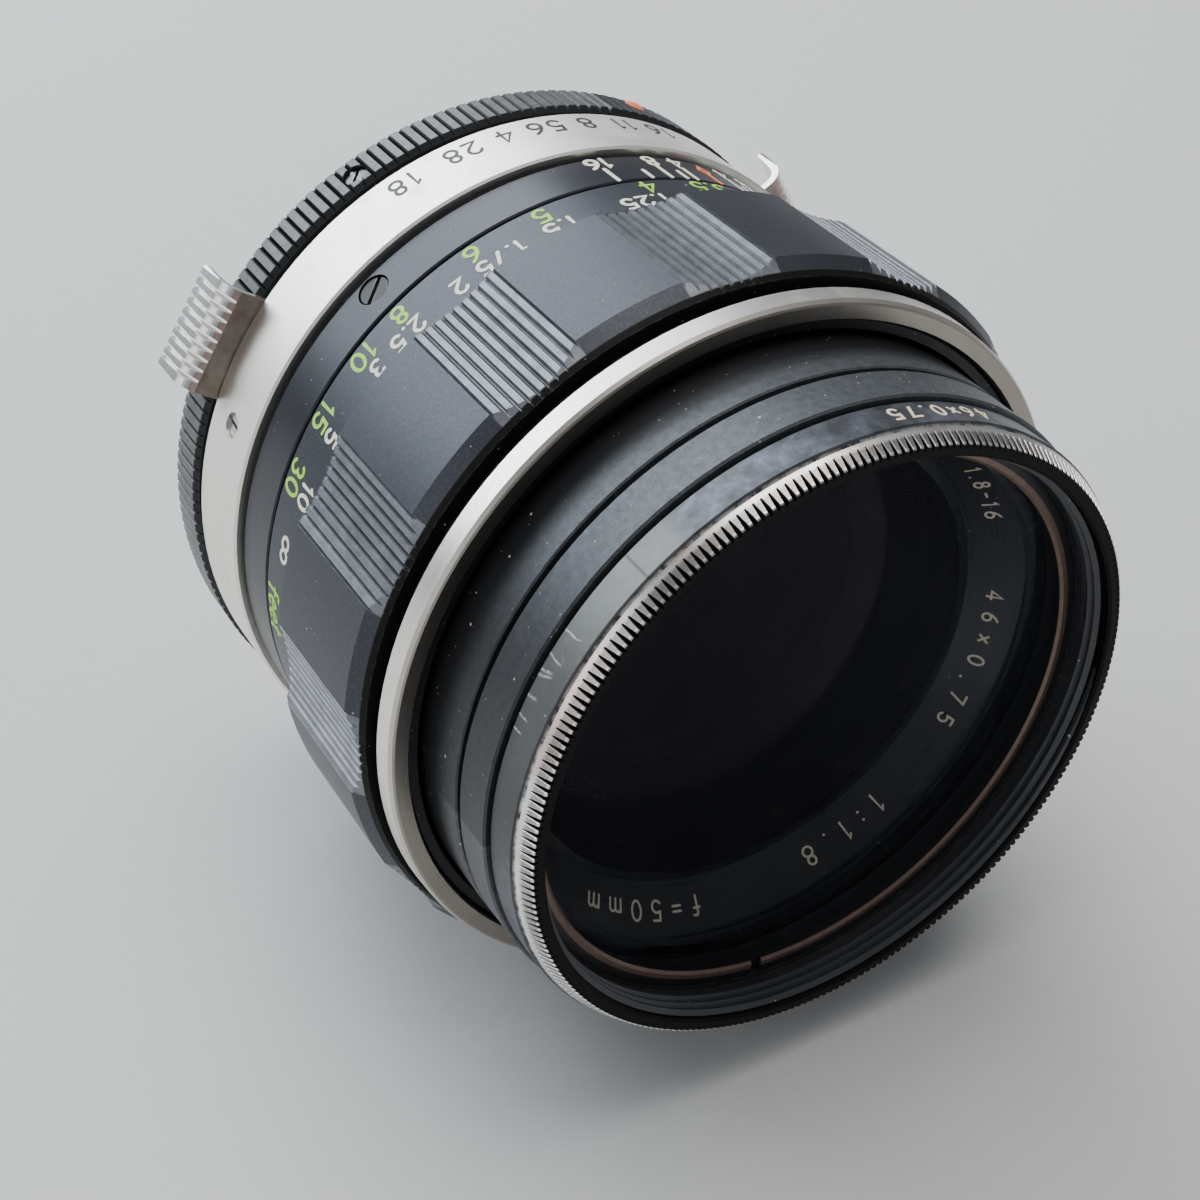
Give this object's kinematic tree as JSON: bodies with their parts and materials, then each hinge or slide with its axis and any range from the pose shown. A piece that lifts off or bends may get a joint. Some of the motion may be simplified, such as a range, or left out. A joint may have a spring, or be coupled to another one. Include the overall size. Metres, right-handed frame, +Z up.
{
  "type": "prime camera lens",
  "caption": "Manual-focus prime camera lens with ribbed focusing ring, click-stop aperture ring with finger tabs, iris, bayonet spigot and a screw-in filter.",
  "frame": {"origin": "on the optical axis at the rear flange face", "axes": "optical axis along Y with the front of the lens towards -Y and the camera side towards +Y, +Z up with the lens lying on its side as it would on a table, +X to the right seen from the front"},
  "size_m": [0.0588, 0.0562, 0.0582],
  "materials": {
    "black_anodised": "satin black anodised",
    "black_satin": "satin black",
    "black_flat": "flat black",
    "satin_chrome": "satin chrome",
    "bright_chrome": "bright chrome, worn",
    "bright_aluminium": "turned bright",
    "steel": "bright",
    "dark_steel": "blackened",
    "brass": "turned",
    "blade_steel": "blued spring steel",
    "optical_glass": "coated",
    "filter_glass": "polished"
  },
  "bodies": {
    "base": {"rear_mount": "bright_chrome", "mount_screws": "steel", "fixed_barrel": "black_anodised", "focus_retaining_ring": "brass", "retaining_ring_screws": "steel", "guide_keys": "brass", "detent_ball": "steel", "detent_spring": "steel", "knurled_rear_ring": "black_satin", "rear_ring_screws": "dark_steel", "depth_scale_ring": "black_satin", "depth_ring_screws": "dark_steel", "focus_stop_pins": "steel", "pin_leaf_spring": "steel", "leaf_spring_screws": "steel"},
    "aperture": {"aperture_ring": "satin_chrome", "aperture_tabs": "bright_chrome", "tab_screws": "steel", "aperture_set_screws": "steel", "aperture_cam_ring": "brass", "cam_link_screw": "steel"},
    "focus": {"focus_ring": "black_anodised", "silver_trim_ring": "bright_aluminium", "dust_ring": "black_flat", "helicoid_nut": "brass", "helicoid_screws": "steel", "focus_stop_screw": "steel"},
    "barrel": {"helicoid_tube": "brass", "front_barrel": "black_satin", "barrel_screws": "steel", "front_bezel": "black_satin", "name_ring": "black_flat", "front_cell": "black_flat", "glass_front": "optical_glass", "glass_second": "optical_glass", "glass_third": "optical_glass", "front_spacer": "black_flat", "iris_housing": "black_flat", "iris_cover": "black_flat", "rear_cell": "black_flat", "glass_fourth": "optical_glass", "glass_fifth": "optical_glass", "rear_spacer": "black_flat", "glass_rear": "optical_glass", "rear_retainer": "black_flat"},
    "iris_ring": {"iris_drive_ring": "brass"},
    "stop_pin": {"stop_down_pin": "steel"},
    "filter": {"filter_ring": "black_satin", "filter_glass": "filter_glass", "filter_retainer": "black_flat"},
    "blade_1": {"iris_blade_1": "blade_steel"},
    "blade_2": {"iris_blade_2": "blade_steel"},
    "blade_3": {"iris_blade_3": "blade_steel"},
    "blade_4": {"iris_blade_4": "blade_steel"},
    "blade_5": {"iris_blade_5": "blade_steel"},
    "blade_6": {"iris_blade_6": "blade_steel"}
  },
  "joints": [
    {"name": "focus_turn", "type": "hinge", "parent": "base", "child": "focus", "pos_m": [0, -0.027, 0], "axis": [0, -1, 0], "range_deg": [-99.5, 162]},
    {"name": "barrel_slide", "type": "slide", "parent": "base", "child": "barrel", "axis": [0, -1, 0], "range_m": [-0.00275, 0.00445]},
    {"name": "aperture_turn", "type": "hinge", "parent": "base", "child": "aperture", "pos_m": [0, -0.0086, 0], "axis": [0, -1, 0], "range_deg": [-45.8, 0]},
    {"name": "iris_close", "type": "hinge", "parent": "barrel", "child": "iris_ring", "pos_m": [0, -0.0232, 0], "axis": [0, -1, 0], "range_deg": [0, 30]},
    {"name": "stop_pin_push", "type": "slide", "parent": "base", "child": "stop_pin", "axis": [0, -1, 0], "range_m": [0, 0.002], "deforming": ["pin_leaf_spring"]},
    {"name": "filter_off", "type": "slide", "parent": "barrel", "child": "filter", "axis": [0, -1, 0], "range_m": [0, 0.012]},
    {"name": "blade_1_turn", "type": "hinge", "parent": "barrel", "child": "blade_1", "pos_m": [0.0186, -0.022, 0], "axis": [0, -1, 0], "range_deg": [0, 32]},
    {"name": "blade_2_turn", "type": "hinge", "parent": "barrel", "child": "blade_2", "pos_m": [0.0093, -0.022, 0.01611], "axis": [0, -1, 0], "range_deg": [0, 32]},
    {"name": "blade_3_turn", "type": "hinge", "parent": "barrel", "child": "blade_3", "pos_m": [-0.0093, -0.022, 0.01611], "axis": [0, -1, 0], "range_deg": [0, 32]},
    {"name": "blade_4_turn", "type": "hinge", "parent": "barrel", "child": "blade_4", "pos_m": [-0.0186, -0.022, 0], "axis": [0, -1, 0], "range_deg": [0, 32]},
    {"name": "blade_5_turn", "type": "hinge", "parent": "barrel", "child": "blade_5", "pos_m": [-0.0093, -0.022, -0.01611], "axis": [0, -1, 0], "range_deg": [0, 32]},
    {"name": "blade_6_turn", "type": "hinge", "parent": "barrel", "child": "blade_6", "pos_m": [0.0093, -0.022, -0.01611], "axis": [0, -1, 0], "range_deg": [0, 32]}
  ],
  "couplings": [
    {"joint": "barrel_slide", "follows": "focus_turn", "m_per_rad": 0.0015661},
    {"joint": "stop_pin_push", "follows": "iris_close", "m_per_rad": 0.0036287},
    {"joint": "blade_1_turn", "follows": "iris_close", "ratio": 1.061},
    {"joint": "blade_2_turn", "follows": "iris_close", "ratio": 1.061},
    {"joint": "blade_3_turn", "follows": "iris_close", "ratio": 1.061},
    {"joint": "blade_4_turn", "follows": "iris_close", "ratio": 1.061},
    {"joint": "blade_5_turn", "follows": "iris_close", "ratio": 1.061},
    {"joint": "blade_6_turn", "follows": "iris_close", "ratio": 1.061}
  ]
}
